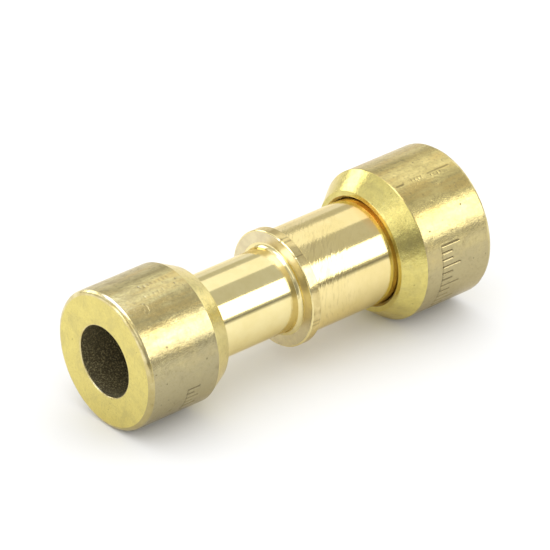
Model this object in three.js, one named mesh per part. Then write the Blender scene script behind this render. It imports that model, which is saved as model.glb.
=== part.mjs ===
// Reducing tube coupling with two lock rings already fitted, lying along +X.
// A turned joint body joins a 6 mm tube (at -X) to an 8 mm tube (at +X). A lock ring sits
// on the rim of each sleeve, ready to be driven inward until it meets the middle collar.
// Millimetres, +Z up. The origin is the centre of the coupling's bounding box.

import * as THREE from 'three';

// Round surfaces: flats start half a step round, so that the coupling rests on a flat.
const ROUND_STEPS = 48;
const ARC_STEPS = 2;

// Tubes that the coupling joins, and the turned body around them.
const smallTubeRadius = 3.0;
const largeTubeRadius = 4.0;
const tubeClearance = 0.1;
const sleeveWall = 0.8;
const rimBreak = 0.15;

// Distances along the axis, from the small ring's outer face.
const couplingLength = 38.3;
const collarStart = 18.79;
const collarEnd = 19.83;
const collarRadius = 5.43;
const collarEdge = 0.1;
const smallRootFillet = 0.5;
const largeRootFillet = 0.2;
const stopThickness = 1.6;
const passageRadius = 2.5;

// The two lock rings. Lengths run inward from each ring's outer face.
const ringOverlap = 2.1;
const ringClearance = 0.05;
const ringPressStep = 0.6;
const ringEdge = 0.18;
const ringBoreEdge = 0.1;
const ringChamferLength = 1.86;
const pressBoreLength = 4.5;
const pressTaperLength = 1.9;
const mouthLeadLength = 0.3;

const smallRing = { length: 9.3, radius: 6.43, landRadius: 5.48, mouthRadius: 4.16 };
const largeRing = { length: 9.46, radius: 7.065, landRadius: 5.67, mouthRadius: 5.2 };

const smallBore = smallTubeRadius + tubeClearance;
const largeBore = largeTubeRadius + tubeClearance;
const smallSleeve = smallBore + sleeveWall;
const largeSleeve = largeBore + sleeveWall;
const smallRim = smallRing.length - ringOverlap;
const largeRim = couplingLength - largeRing.length + ringOverlap;
const stopStart = (collarStart + collarEnd - stopThickness) / 2;
const stopEnd = stopStart + stopThickness;

// Revolves a closed outline of (radius, distance along the axis).
function revolve(outline) {
  const points = outline.getPoints(ARC_STEPS);
  points.push(points[0].clone());
  return new THREE.LatheGeometry(points, ROUND_STEPS, Math.PI / ROUND_STEPS);
}

// The body: outside from the small rim to the large rim, then back along the inside.
function jointBodyOutline() {
  const outline = new THREE.Path();
  outline.moveTo(smallBore + rimBreak, smallRim);
  outline.lineTo(smallSleeve - rimBreak, smallRim);
  outline.lineTo(smallSleeve, smallRim + rimBreak);

  const smallFilletCentre = smallSleeve + smallRootFillet;
  outline.absarc(smallFilletCentre, collarStart - smallRootFillet, smallRootFillet,
    Math.PI, Math.PI / 2, true);
  outline.lineTo(collarRadius - collarEdge, collarStart);
  outline.lineTo(collarRadius, collarStart + collarEdge);
  outline.lineTo(collarRadius, collarEnd - collarEdge);
  outline.lineTo(collarRadius - collarEdge, collarEnd);

  const largeFilletCentre = largeSleeve + largeRootFillet;
  outline.absarc(largeFilletCentre, collarEnd + largeRootFillet, largeRootFillet,
    -Math.PI / 2, -Math.PI, true);
  outline.lineTo(largeSleeve, largeRim - rimBreak);
  outline.lineTo(largeSleeve - rimBreak, largeRim);
  outline.lineTo(largeBore + rimBreak, largeRim);
  outline.lineTo(largeBore, largeRim - rimBreak);

  outline.lineTo(largeBore, stopEnd);
  outline.lineTo(passageRadius, stopEnd);
  outline.lineTo(passageRadius, stopStart);
  outline.lineTo(smallBore, stopStart);
  outline.lineTo(smallBore, smallRim + rimBreak);
  return outline;
}

// A lock ring: press bore at its outer end, then a taper to a guide bore on the sleeve.
function lockRingOutline(ring, sleeveRadius) {
  const guideRadius = sleeveRadius + ringClearance;
  const pressRadius = sleeveRadius - ringPressStep;
  const guideStart = pressBoreLength + pressTaperLength;

  const outline = new THREE.Path();
  outline.moveTo(pressRadius + ringBoreEdge, 0);
  outline.lineTo(ring.radius - ringEdge, 0);
  outline.lineTo(ring.radius, ringEdge);
  outline.lineTo(ring.radius, ring.length - ringChamferLength);
  outline.lineTo(ring.landRadius, ring.length);
  outline.lineTo(ring.mouthRadius, ring.length);
  outline.lineTo(guideRadius, ring.length - mouthLeadLength);
  outline.lineTo(guideRadius, guideStart);
  outline.lineTo(pressRadius, pressBoreLength);
  outline.lineTo(pressRadius, ringBoreEdge);
  return outline;
}

// Adds a revolved piece whose outline starts at x and runs along +X (1) or -X (-1).
function addPiece(group, name, outline, material, x, direction) {
  const piece = new THREE.Mesh(revolve(outline), material);
  piece.name = name;
  piece.position.x = x;
  piece.rotation.z = -direction * Math.PI / 2;
  group.add(piece);
}

const bodyBrass = new THREE.MeshStandardMaterial({
  color: 0xe2c27c, roughness: 0.18, metalness: 1,
});
const ringBrass = new THREE.MeshStandardMaterial({
  color: 0xb9a662, roughness: 0.42, metalness: 1,
});

const halfLength = couplingLength / 2;
const coupling = new THREE.Group();
coupling.name = 'reducing_tube_coupling';
addPiece(coupling, 'joint_body', jointBodyOutline(), bodyBrass, -halfLength, 1);
addPiece(coupling, 'small_lock_ring', lockRingOutline(smallRing, smallSleeve),
  ringBrass, -halfLength, 1);
addPiece(coupling, 'large_lock_ring', lockRingOutline(largeRing, largeSleeve),
  ringBrass, halfLength, -1);

export default coupling;
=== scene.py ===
"""Looks of a brass reducing tube coupling with two lock rings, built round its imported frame.

Lengths are in millimetres until an object is made. X is the coupling's axis. A turn is an
angle about it, from +Y towards +Z.
"""
import math

import bpy
import numpy as np
from mathutils import Matrix, Vector


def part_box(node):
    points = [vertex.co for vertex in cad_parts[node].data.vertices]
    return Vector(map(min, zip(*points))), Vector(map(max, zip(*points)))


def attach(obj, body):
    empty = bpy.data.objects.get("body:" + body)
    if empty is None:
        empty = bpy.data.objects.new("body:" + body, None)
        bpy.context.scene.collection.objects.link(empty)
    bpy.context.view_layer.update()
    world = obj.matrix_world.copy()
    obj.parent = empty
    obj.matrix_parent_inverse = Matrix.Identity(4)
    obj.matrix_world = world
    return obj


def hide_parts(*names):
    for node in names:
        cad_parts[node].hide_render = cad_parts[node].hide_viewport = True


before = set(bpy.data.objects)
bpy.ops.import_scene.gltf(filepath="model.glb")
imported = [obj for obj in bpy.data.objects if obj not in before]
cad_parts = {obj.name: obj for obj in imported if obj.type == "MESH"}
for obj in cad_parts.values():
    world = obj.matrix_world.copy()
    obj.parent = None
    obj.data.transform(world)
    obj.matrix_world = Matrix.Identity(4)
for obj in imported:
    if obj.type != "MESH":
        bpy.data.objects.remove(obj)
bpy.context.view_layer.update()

MM = 0.001


# ---------------------------------------------------------------- driving dimensions

def node_span(node):
    """The lowest and highest x of a CAD node, in millimetres."""
    low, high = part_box(node)
    return low.x / MM, high.x / MM


SMALL_END, SMALL_RING_INNER = node_span("small_lock_ring")
LARGE_RING_INNER, LARGE_END = node_span("large_lock_ring")
SMALL_RIM, LARGE_RIM = node_span("joint_body")

# Outer radii of the sleeves and the collar.
SMALL_SLEEVE = 3.9
LARGE_SLEEVE = 4.9
COLLAR_RADIUS = 5.43
SLEEVE_WALL = 0.8
COLLAR_START = SMALL_END + 18.79
COLLAR_END = SMALL_END + 19.83
# The stop between the two sockets: half its thickness, and the passage through it.
STOP_HALF = 0.8
PASSAGE_RADIUS = 2.5

RING_CHAMFER = 1.86
# How much smaller than the sleeve a ring's press bore is, and how much larger its guide bore.
RING_PRESS_STEP = 0.6
RING_CLEARANCE = 0.05
PRESS_BORE_LENGTH = 4.5
PRESS_TAPER_LENGTH = 1.9
MOUTH_LEAD = 0.3
# "stamped" is the stretch, measured from the ring's outer face, that carries its marks.
SMALL_RING = {"sleeve": SMALL_SLEEVE, "radius": 6.43, "land": 5.48, "mouth": 4.16,
              "length": SMALL_RING_INNER - SMALL_END, "stamped": (1.2, 6.9)}
LARGE_RING = {"sleeve": LARGE_SLEEVE, "radius": 7.065, "land": 5.67, "mouth": 5.2,
              "length": LARGE_END - LARGE_RING_INNER, "stamped": (0.9, 7.4)}


# ---------------------------------------------------------------- camera

# The way from the coupling to the camera, and the way that is up in the picture.
VIEW_BACK = Vector((-0.5531, -0.6700, 0.4951)).normalized()
VIEW_UP = Vector((0.3294, 0.3700, 0.8686))
CAMERA_PLACE = Vector((-241.6, -292.6, 217.5))
SENSOR_WIDTH = 36.0
LENS = 327.2727


def add_camera():
    """A long lens, looking down on the coupling from in front of its small end."""
    data = bpy.data.cameras.new("camera")
    data.sensor_width = SENSOR_WIDTH
    data.lens = LENS
    data.clip_start = 0.01
    data.clip_end = 10
    camera = bpy.data.objects.new("camera", data)
    bpy.context.scene.collection.objects.link(camera)
    right = VIEW_UP.cross(VIEW_BACK).normalized()
    up = VIEW_BACK.cross(right)
    turn = Matrix((right, up, VIEW_BACK)).transposed()
    camera.matrix_world = Matrix.Translation(CAMERA_PLACE * MM) @ turn.to_4x4()
    bpy.context.scene.camera = camera


# ---------------------------------------------------------------- material helpers

class Nodes:
    """A material's node tree, with short ways to add and join nodes."""

    def __init__(self, name):
        self.material = bpy.data.materials.new(name)
        self.material.use_nodes = True
        self.tree = self.material.node_tree
        self.shader = self.tree.nodes["Principled BSDF"]
        self.find_place()

    def add(self, kind, inputs=None, **settings):
        node = self.tree.nodes.new("ShaderNode" + kind)
        for key, value in settings.items():
            setattr(node, key, value)
        for key, value in (inputs or {}).items():
            self.feed(node.inputs[key], value)
        return node

    def feed(self, socket, value):
        if isinstance(value, bpy.types.NodeSocket):
            self.tree.links.new(value, socket)
        else:
            socket.default_value = value

    def math(self, operation, first, second=0.0, third=0.0):
        node = self.add("Math", {0: first, 1: second, 2: third}, operation=operation)
        return node.outputs[0]

    def ramp(self, value, stops):
        """A colour ramp over value. Each stop is (place, grey level or colour)."""
        node = self.add("ValToRGB", {0: value})
        elements = node.color_ramp.elements
        while len(elements) < len(stops):
            elements.new(1.0)
        for element, (place, colour) in zip(elements, stops):
            element.position = place
            if isinstance(colour, (int, float)):
                colour = (colour, colour, colour)
            element.color = (*colour, 1.0)
        return node.outputs[0]

    def mix(self, factor, first, second):
        node = self.add("Mix", data_type="RGBA")
        self.feed(node.inputs[0], factor)
        for socket, value in ((node.inputs[6], first), (node.inputs[7], second)):
            self.feed(socket, value if isinstance(value, bpy.types.NodeSocket) else (*value, 1.0))
        return node.outputs[2]

    def find_place(self):
        """Sets place (a vector), x and radius in mm, and the cosine and sine of the turn."""
        where = self.add("TexCoord").outputs["Object"]
        self.place = self.add("VectorMath", {0: where, 1: (1 / MM,) * 3},
                              operation="MULTIPLY").outputs[0]
        self.x, y, z = self.add("SeparateXYZ", {0: self.place}).outputs
        z_squared = self.math("MULTIPLY", z, z)
        self.radius = self.math("SQRT", self.math("MULTIPLY_ADD", y, y, z_squared))
        self.cosine = self.math("DIVIDE", y, self.radius)
        self.sine = self.math("DIVIDE", z, self.radius)

    def around(self, lengthways, lengthways_scale, turn_scale):
        """A vector for noise: lengthways per mm, and round the axis per radian, with no seam."""
        return self.add("CombineXYZ", {0: self.math("MULTIPLY", lengthways, lengthways_scale),
                                       1: self.math("MULTIPLY", self.cosine, turn_scale),
                                       2: self.math("MULTIPLY", self.sine, turn_scale)}).outputs[0]

    def toward(self, side):
        """1 at the turn called side (in radians), 0 square to it and -1 opposite."""
        across = self.math("MULTIPLY", self.sine, math.sin(side))
        return self.math("MULTIPLY_ADD", self.cosine, math.cos(side), across)

    def noise(self, vector, scale, detail=2.0, roughness=0.5, distortion=0.0):
        node = self.add("TexNoise", {"Vector": vector, "Scale": scale, "Detail": detail,
                                     "Roughness": roughness, "Distortion": distortion})
        return node.outputs[0]

    def spots(self, vector, scale):
        """Distance to the nearest of scattered points."""
        return self.add("TexVoronoi", {"Vector": vector, "Scale": scale}).outputs[0]

    def recess_shade(self):
        """How much painted shade darkens a stamped mark or a dent, from 0 to 1."""
        return self.add("Attribute", attribute_name="recess_shade").outputs["Fac"]

    def bump(self, height, depth, normal=None):
        """depth is in millimetres for a height of 1."""
        node = self.add("Bump", {"Height": height, "Strength": 1.0, "Distance": depth * MM})
        if normal is not None:
            self.feed(node.inputs["Normal"], normal)
        return node.outputs[0]

    def set(self, **values):
        """Sets the shader's sockets, named with _ for a space."""
        for key, value in values.items():
            socket = self.shader.inputs[key.replace("_", " ")]
            self.feed(socket, value)
        return self.material


# The colour of pits and specks, and of the painted shade in stamped marks and dents.
PIT_AND_SHADE_COLOUR = (0.13, 0.10, 0.045)
BROWNED = (0.62, 0.46, 0.16)
SCORED = (0.62, 0.50, 0.23)
# Painted reflection: the orange of the large ring's inside, laid on the sleeve beside its mouth.
ORANGE_REFLECTION = (0.97, 0.50, 0.12)
# The turn, low down on one side, where painted shade darkens each ring and its broken edges most.
SHADED_SIDE = math.radians(215)
# Where the large sleeve beside its ring carries a painted orange reflection of the ring's inside,
# and how far it reaches.
REFLECTION_SIDE = math.radians(106)
REFLECTION_REACH = 2.0
# How far from the collar the large sleeve is scored, and how fast the marks slant.
CHATTER_REACH = 10.0
CHATTER_SLANT = 4.5


def body_brass(name):
    """Bright turned brass, with chatter on the large sleeve and a painted orange reflection by its
    ring.
    """
    n = Nodes(name)
    past_collar = n.math("SUBTRACT", n.x, COLLAR_END)
    near_collar = n.ramp(n.math("MULTIPLY", past_collar, 1 / CHATTER_REACH),
                         [(0.0, 0.12), (0.02, 1.0), (0.3, 0.7), (0.6, 0.12)])
    outside = n.math("GREATER_THAN", n.radius, LARGE_SLEEVE - SLEEVE_WALL / 2)
    near_collar = n.math("MULTIPLY", near_collar, outside)
    groove = n.noise(n.around(n.math("ADD", n.x, n.radius), 7.0, 0.9), 1.0, 4.0, 0.6)
    slanted = n.math("SUBTRACT", n.x, n.math("MULTIPLY", n.cosine, CHATTER_SLANT))
    chatter = n.noise(n.around(slanted, 4.2, 5.0), 1.0, 2.0, 0.55, 0.3)
    wear = n.noise(n.place, 0.5, 4.0, 0.6)
    wear = n.ramp(wear, [(0.35, 0.0), (0.7, 1.0)])
    small_end = n.mix(wear, (0.81, 0.69, 0.33), (0.87, 0.76, 0.40))
    large_end = n.mix(wear, (0.79, 0.65, 0.29), (0.84, 0.70, 0.34))
    colour = n.mix(n.math("GREATER_THAN", past_collar, 0.0), small_end, large_end)
    scored = n.math("MULTIPLY", n.ramp(chatter, [(0.52, 0.0), (0.68, 0.7)]), near_collar)
    colour = n.mix(scored, colour, SCORED)
    # A painted orange reflection of the ring's inside, on the sleeve's upper side beside the
    # ring's mouth.
    to_mouth = n.math("MULTIPLY", n.math("SUBTRACT", LARGE_RING_INNER, n.x), 1 / REFLECTION_REACH)
    by_mouth = n.ramp(to_mouth, [(0.0, 0.45), (0.12, 0.65), (0.8, 0.0)])
    painted_reflection = n.ramp(n.toward(REFLECTION_SIDE), [(0.86, 0.0), (0.985, 1.0)])
    painted_reflection = n.math("MULTIPLY", n.math("MULTIPLY", by_mouth, painted_reflection), outside)
    colour = n.mix(painted_reflection, colour, ORANGE_REFLECTION)
    normal = n.bump(groove, 0.006)
    normal = n.bump(n.math("MULTIPLY", chatter, near_collar), 0.026, normal)
    normal = n.bump(n.math("MULTIPLY", groove, near_collar), 0.012, normal)
    rough = n.math("MULTIPLY_ADD", n.noise(n.place, 2.5, 3.0, 0.6), 0.10, 0.05)
    n.set(Specular_Tint=(0.94, 0.87, 0.70, 1.0))
    return n.set(Base_Color=colour, Metallic=1.0, Roughness=rough, Normal=normal)


def collar_brass(name, fresh, dull, least_rough):
    """Part of the collar: cut more roughly than the sleeves, with fine turning circles."""
    n = Nodes(name)
    circles = n.noise(n.around(n.math("ADD", n.radius, n.x), 22.0, 1.2), 1.0, 3.0, 0.6)
    stain = n.noise(n.place, 1.1, 4.0, 0.65)
    colour = n.mix(n.ramp(stain, [(0.36, 0.0), (0.62, 1.0)]), fresh, dull)
    # Painted shade in the collar's nicks and dents, darker where they are deeper.
    colour = n.mix(n.recess_shade(), colour, PIT_AND_SHADE_COLOUR)
    normal = n.bump(circles, 0.002)
    normal = n.bump(n.noise(n.place, 2.2, 3.0, 0.5), 0.012, normal)
    rough = n.math("MULTIPLY_ADD", stain, 0.16, least_rough)
    n.set(Specular_Tint=(0.90, 0.82, 0.66, 1.0))
    return n.set(Base_Color=colour, Metallic=1.0, Roughness=rough, Normal=normal)


def ring_brass(name, fresh, dull, tarnished_and_shaded, browning):
    """Satin brass with brown streaks along the axis, pits and scratches, and patchy tarnish mixed
    with painted shade down one side.

    browning is how strongly the streaks are browned, from 0 to 1.
    """
    n = Nodes(name)
    blotch = n.noise(n.place, 0.35, 4.0, 0.65, 0.6)
    streak = n.noise(n.around(n.x, 0.22, 9.0), 1.0, 4.0, 0.65)
    mottle = n.noise(n.place, 1.4, 5.0, 0.7)
    grain = n.noise(n.place, 3.4, 4.0, 0.65)
    patch = n.math("MULTIPLY_ADD", blotch, 0.3, n.math("MULTIPLY", streak, 0.4))
    patch = n.math("MULTIPLY_ADD", mottle, 0.3, patch)
    colour = n.mix(n.ramp(patch, [(0.42, 0.0), (0.58, 1.0)]), fresh, dull)
    brown = n.noise(n.around(n.x, 0.16, 5.6), 1.0, 3.0, 0.6)
    colour = n.mix(n.ramp(brown, [(0.47, 0.0), (0.63, browning)]), colour, BROWNED)
    # Random tarnish patches plus painted shade, darkest on the lower side.
    tarnish_and_shade = n.math("MULTIPLY_ADD", n.toward(SHADED_SIDE), 0.5, n.math("MULTIPLY", patch, 0.5))
    colour = n.mix(n.ramp(tarnish_and_shade, [(0.40, 0.0), (0.66, 1.0)]), colour, tarnished_and_shaded)
    colour = n.mix(n.ramp(grain, [(0.5, 0.0), (0.70, 0.5)]), colour, (0.30, 0.25, 0.12))
    pits = n.ramp(n.spots(n.place, 1.1), [(0.04, 1.0), (0.11, 0.0)])
    colour = n.mix(n.math("MULTIPLY", pits, 0.7), colour, PIT_AND_SHADE_COLOUR)
    # Painted shade in stamped marks and dents, darker where they are deeper.
    colour = n.mix(n.recess_shade(), colour, PIT_AND_SHADE_COLOUR)
    scratch = n.noise(n.around(n.x, 0.55, 55.0), 1.0, 3.0, 0.6)
    rough = n.math("MULTIPLY_ADD", mottle, 0.24, 0.09)
    normal = n.bump(grain, 0.007)
    normal = n.bump(mottle, 0.026, normal)
    normal = n.bump(scratch, 0.003, normal)
    normal = n.bump(n.math("MULTIPLY", pits, -1.0), 0.02, normal)
    n.set(Specular_Tint=(0.85, 0.79, 0.68, 1.0))
    return n.set(Base_Color=colour, Metallic=0.88, Roughness=rough, Normal=normal)


def cut_brass(name, fresh, dull, unevenness, metallic=1.0):
    """A cut face or chamfer of a ring: yellower and smoother, with turning circles.

    unevenness is the height of its broad waves in millimetres.
    """
    n = Nodes(name)
    circles = n.noise(n.around(n.radius, 9.0, 1.0), 1.0, 3.0, 0.6)
    cloud = n.noise(n.place, 1.2, 5.0, 0.65)
    grain = n.noise(n.place, 4.5, 4.0, 0.65)
    colour = n.mix(n.ramp(cloud, [(0.35, 0.0), (0.65, 1.0)]), fresh, dull)
    smear = n.noise(n.place, 0.55, 3.0, 0.6, 0.5)
    colour = n.mix(n.ramp(smear, [(0.48, 0.0), (0.66, 0.45)]), colour, (0.50, 0.43, 0.17))
    colour = n.mix(n.ramp(grain, [(0.5, 0.0), (0.72, 0.4)]), colour, (0.42, 0.34, 0.13))
    specks = n.ramp(n.spots(n.place, 1.2), [(0.04, 1.0), (0.1, 0.0)])
    colour = n.mix(n.math("MULTIPLY", specks, 0.6), colour, PIT_AND_SHADE_COLOUR)
    normal = n.bump(circles, 0.003)
    normal = n.bump(cloud, unevenness, normal)
    normal = n.bump(grain, 0.004, normal)
    rough = n.math("MULTIPLY_ADD", cloud, 0.18, 0.13)
    n.set(Specular_Tint=(1.0, 0.93, 0.8, 1.0))
    return n.set(Base_Color=colour, Metallic=metallic, Roughness=rough, Normal=normal)


def edge_brass(name):
    """Broken edges, rubbed bright in places, with painted shade down one side."""
    n = Nodes(name)
    rub = n.noise(n.place, 1.2, 4.0, 0.6)
    colour = n.mix(n.ramp(rub, [(0.4, 0.0), (0.62, 1.0)]), (0.76, 0.66, 0.35), (0.60, 0.49, 0.20))
    # Painted shade, darkest on the lower side.
    side_shade = n.ramp(n.toward(SHADED_SIDE), [(0.5, 0.0), (0.9, 0.8)])
    colour = n.mix(side_shade, colour, (0.38, 0.31, 0.13))
    # Painted shade in dents on the edges, darker where they are deeper.
    colour = n.mix(n.recess_shade(), colour, PIT_AND_SHADE_COLOUR)
    normal = n.bump(rub, 0.01)
    return n.set(Base_Color=colour, Metallic=1.0, Roughness=0.24, Normal=normal)


def shaded_bore_brass(name):
    """A ring's bore: painted near black as shade, matt and grainy."""
    n = Nodes(name)
    grain = n.noise(n.place, 7.0, 4.0, 0.7)
    # Painted shade: the bore is coloured near black, with a few lighter grains.
    colour = n.ramp(grain, [(0.3, (0.045, 0.036, 0.012)), (0.52, (0.11, 0.09, 0.04)),
                            (0.70, (0.55, 0.48, 0.25))])
    normal = n.bump(grain, 0.03)
    return n.set(Base_Color=colour, Metallic=0.35, Roughness=0.6, Normal=normal)


# ---------------------------------------------------------------- revolved pieces

# Points on each rounded corner.
ARC_POINTS = 5
# The depth at which a mark's painted shade is as dark as it gets.
SHADE_DEPTH = 0.07
# The short step that ends each side of the outline, which keeps its shading flat.
EDGE_MARGIN = 0.03
# The longest step along the outline in each finish. A finish not named here has COMMON_STEP.
COMMON_STEP = 0.3
FINISH_STEPS = {"stamped": 0.08, "bore": 0.8, "inside": 1.0}
# The step round the axis where marks are stamped, in radians.
FINE_TURN = 0.01


def round_corners(corners):
    """A closed outline as (points, finishes). A corner is (x, radius, rounding, finish).

    The finish is that of the side that leaves the corner. A rounded corner where the finish
    changes is "edge".
    """
    points, finishes = [], []
    count = len(corners)
    for i, (x, r, rounding, finish) in enumerate(corners):
        here = np.array((x, r))
        rounded = finish if corners[i - 1][3] == finish else "edge"
        before = np.array(corners[i - 1][:2]) - here
        after = np.array(corners[(i + 1) % count][:2]) - here
        before /= np.linalg.norm(before)
        after /= np.linalg.norm(after)
        if not rounding:
            points.append(here)
            finishes.append(finish)
            continue
        half = math.acos(np.clip(before @ after, -1, 1)) / 2
        setback = rounding / math.tan(half)
        inward = (before + after) / np.linalg.norm(before + after)
        centre = here + inward * rounding / math.sin(half)
        first = here + before * setback - centre
        last = here + after * setback - centre
        for k in range(ARC_POINTS):
            t = k / (ARC_POINTS - 1)
            arm = first * (1 - t) + last * t
            points.append(centre + arm / np.linalg.norm(arm) * rounding)
            finishes.append(rounded if k < ARC_POINTS - 1 else finish)
    return points, finishes


def subdivide(points, finishes):
    """Cuts the outline's long sides into steps, with a short one at each end."""
    out_points, out_finishes = [], []
    for i, start in enumerate(points):
        side = points[(i + 1) % len(points)] - start
        length = np.linalg.norm(side)
        cuts = math.ceil(length / FINISH_STEPS.get(finishes[i], COMMON_STEP))
        places = np.linspace(0, 1, cuts + 1)[:-1]
        if cuts > 1:
            margin = EDGE_MARGIN / length
            places = np.concatenate(([0, margin], places[1:], [1 - margin]))
        for place in places:
            out_points.append(start + side * place)
            out_finishes.append(finishes[i])
    return np.array(out_points), out_finishes


def revolve(name, corners, materials, turns, relief):
    """A closed body of revolution about X, with a material for each finish of its outline.

    turns are its angles round the axis. relief(x, radius, turn) moves points outward, and
    where it moves them inward the mesh's recess_shade attribute, a painted shade, rises.
    """
    points, finishes = subdivide(*round_corners(corners))
    x = np.repeat(points[:, 0:1], len(turns), axis=1)
    radius = np.repeat(points[:, 1:2], len(turns), axis=1)
    turn = np.repeat(turns[None, :], len(points), axis=0)
    raised = relief(x, radius, turn)
    radius = radius + raised
    place = np.stack((x, radius * np.cos(turn), radius * np.sin(turn)), axis=-1) * MM

    rows, columns = x.shape
    index = np.arange(rows * columns).reshape(rows, columns)
    next_row = np.roll(index, -1, axis=0)
    faces = np.stack((index, next_row, np.roll(next_row, -1, axis=1), np.roll(index, -1, axis=1)),
                     axis=-1).reshape(-1, 4)
    mesh = bpy.data.meshes.new(name)
    mesh.from_pydata(place.reshape(-1, 3), [], faces.tolist())
    order = list(materials)
    for finish in order:
        mesh.materials.append(materials[finish])
    slots = np.repeat([order.index(f) for f in finishes], columns)
    mesh.polygons.foreach_set("material_index", slots.astype(np.int32))
    mesh.polygons.foreach_set("use_smooth", np.ones(len(faces), bool))
    # Painted shade: the deeper a mark or dent, the darker it is coloured.
    shade_amount = np.clip(-raised / SHADE_DEPTH, 0, 1)
    recess_shade = mesh.attributes.new("recess_shade", "FLOAT", "POINT")
    recess_shade.data.foreach_set("value", shade_amount.ravel().astype(np.float32))
    mesh.validate()
    mesh.update()
    piece = bpy.data.objects.new(name, mesh)
    bpy.context.scene.collection.objects.link(piece)
    return piece


def spread_turns(count, fine_spans=()):
    """Angles round the axis in radians: evenly spread, and closer in the spans in degrees."""
    turns = np.linspace(0, 2 * math.pi, count, endpoint=False)
    for low, high in np.radians(np.array(fine_spans).reshape(-1, 2)):
        turns = turns[(turns < low - FINE_TURN) | (turns > high + FINE_TURN)]
        turns = np.concatenate((turns, np.linspace(low, high, round((high - low) / FINE_TURN))))
    return np.sort(turns)


def body_corners():
    """The joint body's outline: round the small rim, outside to the large rim, back inside."""
    small_bore = SMALL_SLEEVE - SLEEVE_WALL
    large_bore = LARGE_SLEEVE - SLEEVE_WALL
    stop = (COLLAR_START + COLLAR_END) / 2
    return [
        (SMALL_RIM, small_bore, 0.12, "body"),
        (SMALL_RIM, SMALL_SLEEVE, 0.15, "body"),
        (COLLAR_START, SMALL_SLEEVE, 0.42, "collar"),
        (COLLAR_START, COLLAR_RADIUS, 0.13, "rim"),
        (COLLAR_END, COLLAR_RADIUS, 0.10, "collar"),
        (COLLAR_END, LARGE_SLEEVE, 0.1, "body"),
        (LARGE_RIM, LARGE_SLEEVE, 0.15, "body"),
        (LARGE_RIM, large_bore, 0.12, "inside"),
        (stop + STOP_HALF, large_bore, 0.1, "inside"),
        (stop + STOP_HALF, PASSAGE_RADIUS, 0.1, "inside"),
        (stop - STOP_HALF, PASSAGE_RADIUS, 0.1, "inside"),
        (stop - STOP_HALF, small_bore, 0.1, "inside"),
    ]


def ring_corners(ring, outer_face, inward):
    """A lock ring's outline. inward is 1 or -1, the way along x to the collar.

    The lengths below run from the ring's outer face. Turned the other way, the outline is
    reversed, so that it still runs the same way round and each finish stays on its side.
    """
    guide = ring["sleeve"] + RING_CLEARANCE
    press = ring["sleeve"] - RING_PRESS_STEP
    length = ring["length"]
    stamped_from, stamped_to = ring["stamped"]
    corners = [
        (0, press, 0.1, "face"),
        (0, ring["radius"], 0.42, "ring"),
        (stamped_from, ring["radius"], 0, "stamped"),
        (stamped_to, ring["radius"], 0, "ring"),
        (length - RING_CHAMFER, ring["radius"], 0, "chamfer"),
        (length, ring["land"], 0.05, "chamfer"),
        (length, ring["mouth"], 0.08, "lead"),
        (length - MOUTH_LEAD, guide, 0.2, "lead"),
        (PRESS_BORE_LENGTH + PRESS_TAPER_LENGTH, guide, 0.3, "bore"),
        (PRESS_BORE_LENGTH, press, 0.3, "bore"),
    ]
    finishes = [finish for _, _, _, finish in corners]
    if inward < 0:
        finishes = finishes[-1:] + finishes[:-1]
    placed = [(outer_face + inward * x, r, rounding, finish)
              for (x, r, rounding, _), finish in zip(corners, finishes)]
    return placed[::inward]


# ---------------------------------------------------------------- stamped marks and dings

# A stamped bar's sloping side, and the burr round it, which is as high as BURR_HEIGHT
# where the bar is as deep as BURR_DEPTH.
STAMP_EDGE = 0.09
BURR_PLACE = 0.11
BURR_WIDTH = 0.06
BURR_HEIGHT = 0.013
BURR_DEPTH = 0.09
# Ranges of a dent's size and depth. Distances round the ring are scaled by DENT_SCALE_ROUND,
# which makes a dent a little longer that way.
DENT_SIZES = (0.1, 0.24)
DENT_DEPTHS = (0.008, 0.03)
DENT_SCALE_ROUND = 0.8
# Marks are kept to the surface within this distance of a piece's outer radius.
RING_SKIN = 0.25
COLLAR_SKIN = 0.3

SCALE_LINE = {"width": 0.1, "depth": 0.05, "arc_radius": 6.9}
SCALE_TICK = {"width": 0.13, "depth": 0.1}
DASH = {"width": 0.13, "length": 0.34}
SCRATCH = {"width": 0.12, "depth": 0.02}
NICK = {"width": 0.12, "depth": 0.035}


def stamp(x, turn, radius, bars):
    """Relief of stamped bars, each with a burr round it.

    A bar is (middle x, turn in degrees, length along x, width round the ring, depth).
    """
    relief = np.zeros_like(x)
    for middle, degrees, length, width, depth in bars:
        along = np.abs(x - middle) - length / 2
        across = np.abs(turn - math.radians(degrees)) * radius - width / 2
        outside = np.maximum(along, across)
        inside = np.clip(0.5 - outside / STAMP_EDGE, 0, 1)
        burr = np.exp(-((outside - BURR_PLACE) / BURR_WIDTH) ** 2)
        relief += burr * BURR_HEIGHT * depth / BURR_DEPTH
        relief -= depth * inside ** 2 * (3 - 2 * inside)
    return relief


def dings(x, turn, radius, seed, count, span):
    """Relief of small dents at random turns, with their middles between two places along x."""
    random = np.random.default_rng(seed)
    relief = np.zeros_like(x)
    for _ in range(count):
        middle = random.uniform(*span)
        angle = random.uniform(0, 2 * math.pi)
        size = random.uniform(*DENT_SIZES)
        depth = random.uniform(*DENT_DEPTHS)
        gap = np.abs((turn - angle + math.pi) % (2 * math.pi) - math.pi) * radius
        relief -= depth * np.exp(-((x - middle) ** 2 + (gap * DENT_SCALE_ROUND) ** 2) / size ** 2)
    return relief


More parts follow.
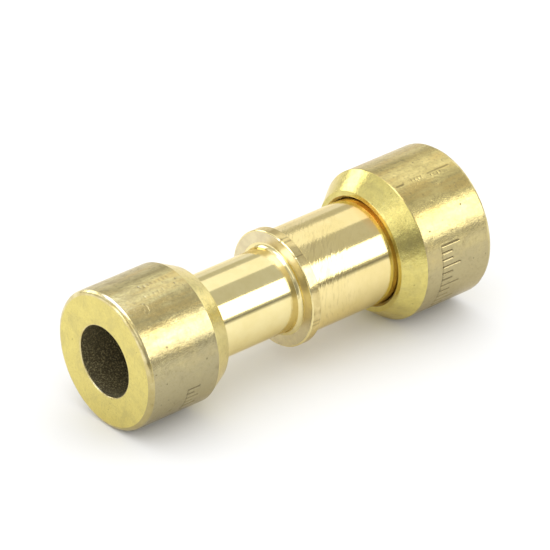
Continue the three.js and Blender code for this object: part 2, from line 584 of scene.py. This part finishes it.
def scale_ticks(baseline, from_turn, to_turn, spacing, lengths):
    """A plain graduated scale: ticks that all start from one line round the ring."""
    arc = math.radians(to_turn - from_turn) * SCALE_LINE["arc_radius"]
    bars = [(baseline, (from_turn + to_turn) / 2, SCALE_LINE["width"], arc, SCALE_LINE["depth"])]
    for i, turn in enumerate(np.arange(from_turn, to_turn, spacing)):
        length = lengths[i % len(lengths)]
        bars.append((baseline + length / 2, turn, length, SCALE_TICK["width"],
                     SCALE_TICK["depth"]))
    return bars


def dash_row(from_x, to_x, turn, spacing, depth):
    """A row along the axis of small dashes that run round the ring."""
    return [(x, turn, DASH["width"], DASH["length"], depth)
            for x in np.arange(from_x, to_x, spacing)]


def curved_scratch(x, turn, size, ring_radius):
    """A short scratch along an arc, as a string of small square marks."""
    angles = np.radians(np.arange(-60, 75, 15))
    return [(x + size * math.cos(a), turn + math.degrees(size * math.sin(a) / ring_radius),
             SCRATCH["width"], SCRATCH["width"], SCRATCH["depth"]) for a in angles]


def large_ring_relief(x, radius, turn):
    """A stamped scale, a broken line of bars along the axis, and dings, most at the edges."""
    marks = scale_ticks(LARGE_END - 5.8, 164, 226, 5.6, (2.1, 1.2, 1.2))
    marks += [(LARGE_END - 6.8, 110.5, 0.9, 0.1, 0.05)]
    marks += dash_row(LARGE_END - 5.4, LARGE_END - 4.1, 110.5, 0.36, 0.03)
    marks += [(LARGE_END - 2.3, 109.5, 2.5, 0.08, 0.045)]
    marks += dash_row(LARGE_END - 3.3, LARGE_END - 2.0, 112, 0.36, 0.03)
    relief = stamp(x, turn, radius, marks)
    relief += dings(x, turn, radius, 3, 14, (LARGE_END - 0.3, LARGE_END))
    relief += dings(x, turn, radius, 4, 8, (LARGE_RING_INNER + 1.7, LARGE_RING_INNER + 2.0))
    relief += dings(x, turn, radius, 5, 16, (LARGE_END - 7.0, LARGE_END - 1.6))
    return np.where(radius > LARGE_RING["radius"] - RING_SKIN, relief, 0)


def small_ring_relief(x, radius, turn):
    """Two rows of dashes, a scratch, a short scale, and dings, most at the edges."""
    marks = dash_row(SMALL_END + 3.4, SMALL_END + 6.6, 98, 0.42, 0.022)
    marks += dash_row(SMALL_END + 3.0, SMALL_END + 5.2, 109, 0.5, 0.016)
    marks += curved_scratch(SMALL_END + 1.9, 118, 0.6, SMALL_RING["radius"])
    marks += scale_ticks(SMALL_END + 4.2, 196, 220, 4.8, (1.3, 0.8))
    relief = stamp(x, turn, radius, marks)
    relief += dings(x, turn, radius, 6, 14, (SMALL_END, SMALL_END + 0.3))
    relief += dings(x, turn, radius, 7, 8, (SMALL_RING_INNER - 2.0, SMALL_RING_INNER - 1.7))
    relief += dings(x, turn, radius, 8, 16, (SMALL_END + 1.3, SMALL_END + 6.8))
    return np.where(radius > SMALL_RING["radius"] - RING_SKIN, relief, 0)


def body_relief(x, radius, turn):
    """Nicks across the collar's rim, and dings on its two edges."""
    middle = (COLLAR_START + COLLAR_END) / 2
    length = COLLAR_END - COLLAR_START
    nicks = [(middle, degrees, length, NICK["width"], NICK["depth"])
             for degrees in (101, 106.5, 125, 192, 196.5, 262, 318)]
    relief = stamp(x, turn, radius, nicks)
    relief += dings(x, turn, radius, 1, 12, (COLLAR_START - 0.05, COLLAR_START + 0.15))
    relief += dings(x, turn, radius, 2, 12, (COLLAR_END - 0.15, COLLAR_END + 0.05))
    return np.where(radius > COLLAR_RADIUS - COLLAR_SKIN, relief, 0)


# ---------------------------------------------------------------- the three pieces

def build_pieces():
    """Builds the visible body and rings, and sets each on its own body in the frame."""
    body = body_brass("turned_brass")
    collar = collar_brass("collar_brass", (0.78, 0.69, 0.44), (0.69, 0.60, 0.39), 0.24)
    rim = collar_brass("collar_rim_brass", (0.74, 0.61, 0.29), (0.60, 0.48, 0.21), 0.1)
    edge = edge_brass("rubbed_edge")
    small_skin = ring_brass("small_ring_brass", (0.63, 0.55, 0.26), (0.44, 0.37, 0.17),
                            (0.40, 0.35, 0.20), 0.5)
    large_skin = ring_brass("large_ring_brass", (0.70, 0.585, 0.24), (0.49, 0.405, 0.16),
                            (0.44, 0.375, 0.20), 0.65)
    face = cut_brass("ring_face_brass", (0.745, 0.64, 0.21), (0.70, 0.595, 0.19), 0.014)
    small_chamfer = cut_brass("small_chamfer_brass", (0.73, 0.64, 0.27), (0.65, 0.56, 0.25), 0.03)
    large_chamfer = cut_brass("large_chamfer_brass", (0.74, 0.645, 0.215), (0.66, 0.56, 0.18),
                              0.04)
    lead = cut_brass("mouth_brass", (0.62, 0.48, 0.18), (0.5, 0.37, 0.12), 0.018, 0.5)
    bore = shaded_bore_brass("painted_shade_bore")
    body_finishes = {"body": body, "collar": collar, "rim": rim, "edge": body, "inside": body}

    def ring_finishes(skin, chamfer):
        return {"ring": skin, "stamped": skin, "face": face, "chamfer": chamfer, "edge": edge,
                "lead": lead, "bore": bore}

    joint = revolve("turned_joint_body", body_corners(), body_finishes, spread_turns(320),
                    body_relief)
    small = revolve("small_ring_detailed", ring_corners(SMALL_RING, SMALL_END, 1),
                    ring_finishes(small_skin, small_chamfer),
                    spread_turns(300, [(95, 126), (192, 224)]), small_ring_relief)
    large = revolve("large_ring_detailed", ring_corners(LARGE_RING, LARGE_END, -1),
                    ring_finishes(large_skin, large_chamfer),
                    spread_turns(310, [(106, 114), (161, 229)]), large_ring_relief)
    for piece, node, rides_on, slot in (
            (joint, "joint_body", "joint_body", "body_brass"),
            (small, "small_lock_ring", "small_ring", "ring_brass"),
            (large, "large_lock_ring", "large_ring", "ring_brass")):
        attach(piece, rides_on)
        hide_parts(node)


# ---------------------------------------------------------------- studio

FAR = 600.0
NEUTRAL = (1.0, 1.0, 1.0)
COOL = (0.97, 1.0, 1.17)
PALE = (0.95, 1.1, 1.9)
# Light and dark cards that only reflections see, each a flat strip alongside the coupling:
# (name, distance, from turn, to turn, from x, to x, brightness, tint). The turns are in
# degrees, and the two x are multiples of the distance. Where two overlap, the nearer one is
# seen.
CARDS = [
    ("back_panel", FAR, 0, 21, 0.2, 1.1, 1.03, COOL),
    ("right_back_card", FAR, -4, 25, 1.2, 8.0, 1.2, NEUTRAL),
    ("back_light", FAR, 11, 33, -0.5, 0.12, 3.4, NEUTRAL),
    ("top_panel", FAR, 41.5, 84, -0.1, 2.5, 1.25, NEUTRAL),
    ("left_high_card", FAR, 38, 90, -1.2, -0.15, 0.95, NEUTRAL),
    ("overhead_light", 500.0, 72, 104, -0.25, 0.3, 3.6, NEUTRAL),
    ("left_back_light", FAR, 5, 62, -2.9, -1.5, 3.2, NEUTRAL),
    ("collar_light", 25.0, 58, 100, -0.95, -0.4, 3.2, PALE),
    ("left_light", FAR, 92, 118, -1.1, -0.55, 1.7, NEUTRAL),
    ("left_low_light", FAR, 118, 141, -1.1, -0.6, 1.35, NEUTRAL),
    ("front_softbox", FAR, 129, 167, 0.25, 1.5, 3.4, NEUTRAL),
    ("front_gap", FAR, 172, 177, 0.33, 1.6, 0.26, NEUTRAL),
    ("left_shade", FAR, 148, 180, -1.3, 0.05, 0.38, NEUTRAL),
    ("low_left_shade", 90.0, 177.5, 184.6, -1.8, -0.2, 0.6, NEUTRAL),
    ("near_left_shade", 40.0, 184, 190.5, -1.4, -0.05, 0.82, NEUTRAL),
    ("right_light", FAR, 34, 100, 3.0, 40.0, 1.9, NEUTRAL),
]
# The world's brightness for reflections, for light on matt surfaces, and for the camera.
FILL = 0.65
SKY = 1.5
BACKDROP = 1.0
FLOOR_WHITE = 0.8
FLOOR_HALF = 3000.0
# How far in from the small ring's outer face its side meets the floor.
FLOOR_CONTACT = 0.2


def emission(name, colour, strength):
    """A material that glows evenly."""
    material = bpy.data.materials.new(name)
    material.use_nodes = True
    nodes = material.node_tree.nodes
    nodes.clear()
    glow = nodes.new("ShaderNodeEmission")
    glow.inputs[0].default_value = (*colour, 1.0)
    glow.inputs[1].default_value = strength
    out = nodes.new("ShaderNodeOutputMaterial")
    material.node_tree.links.new(glow.outputs[0], out.inputs[0])
    return material


def add_card(name, distance, low, high, start, end, brightness, tint):
    """A glowing strip parallel to the coupling, which only reflections see."""
    middle = math.radians((low + high) / 2)
    half = math.radians((high - low) / 2)
    out = Vector((0, math.cos(middle), math.sin(middle)))
    across = Vector((0, -math.sin(middle), math.cos(middle))) * math.tan(half)
    along = Vector((1, 0, 0))
    corners = [out - across + along * start, out - across + along * end,
               out + across + along * end, out + across + along * start]
    mesh = bpy.data.meshes.new(name)
    mesh.from_pydata([corner * distance * MM for corner in corners], [], [(0, 1, 2, 3)])
    mesh.materials.append(emission(name, tint, brightness))
    card = bpy.data.objects.new(name, mesh)
    bpy.context.scene.collection.objects.link(card)
    card.visible_camera = False
    card.visible_diffuse = False
    card.visible_shadow = False
    card.visible_transmission = False


def add_floor():
    """A plain white floor through the lowest edges of both rings."""
    small_x = SMALL_END + FLOOR_CONTACT
    large_x = LARGE_RING_INNER + RING_CHAMFER
    slope = (LARGE_RING["radius"] - SMALL_RING["radius"]) / (large_x - small_x)
    tilt = math.atan(slope)
    height = slope * small_x - SMALL_RING["radius"]
    mesh = bpy.data.meshes.new("floor")
    half = FLOOR_HALF * MM
    mesh.from_pydata([(-half, -half, 0), (half, -half, 0), (half, half, 0), (-half, half, 0)],
                     [], [(0, 1, 2, 3)])
    white = Nodes("white_floor").set(Base_Color=(FLOOR_WHITE, FLOOR_WHITE, FLOOR_WHITE, 1.0),
                                     Roughness=0.9, Specular_IOR_Level=0.1)
    mesh.materials.append(white)
    floor = bpy.data.objects.new("floor", mesh)
    bpy.context.scene.collection.objects.link(floor)
    floor.rotation_euler = (0, tilt, 0)
    floor.location = (0, 0, height * MM)


def set_world():
    """An even light from all round, with its own level for each kind of ray."""
    world = bpy.data.worlds.new("studio")
    bpy.context.scene.world = world
    world.cycles.sampling_method = "NONE"
    world.use_nodes = True
    tree = world.node_tree
    background = tree.nodes["Background"]
    background.inputs[0].default_value = (1.0, 1.0, 1.0, 1.0)
    path = tree.nodes.new("ShaderNodeLightPath")
    level = SKY
    for ray, ray_level in (("Is Glossy Ray", FILL), ("Is Camera Ray", BACKDROP)):
        choice = tree.nodes.new("ShaderNodeMix")
        tree.links.new(path.outputs[ray], choice.inputs[0])
        if isinstance(level, float):
            choice.inputs[2].default_value = level
        else:
            tree.links.new(level, choice.inputs[2])
        choice.inputs[3].default_value = ray_level
        level = choice.outputs[0]
    tree.links.new(level, background.inputs[1])


def build_studio():
    """The cards, the floor, the world and plain colour handling."""
    scene = bpy.context.scene
    scene.view_settings.view_transform = "Standard"
    scene.cycles.use_denoising = True
    for card in CARDS:
        add_card(*card)
    add_floor()
    set_world()


add_camera()
build_pieces()
build_studio()
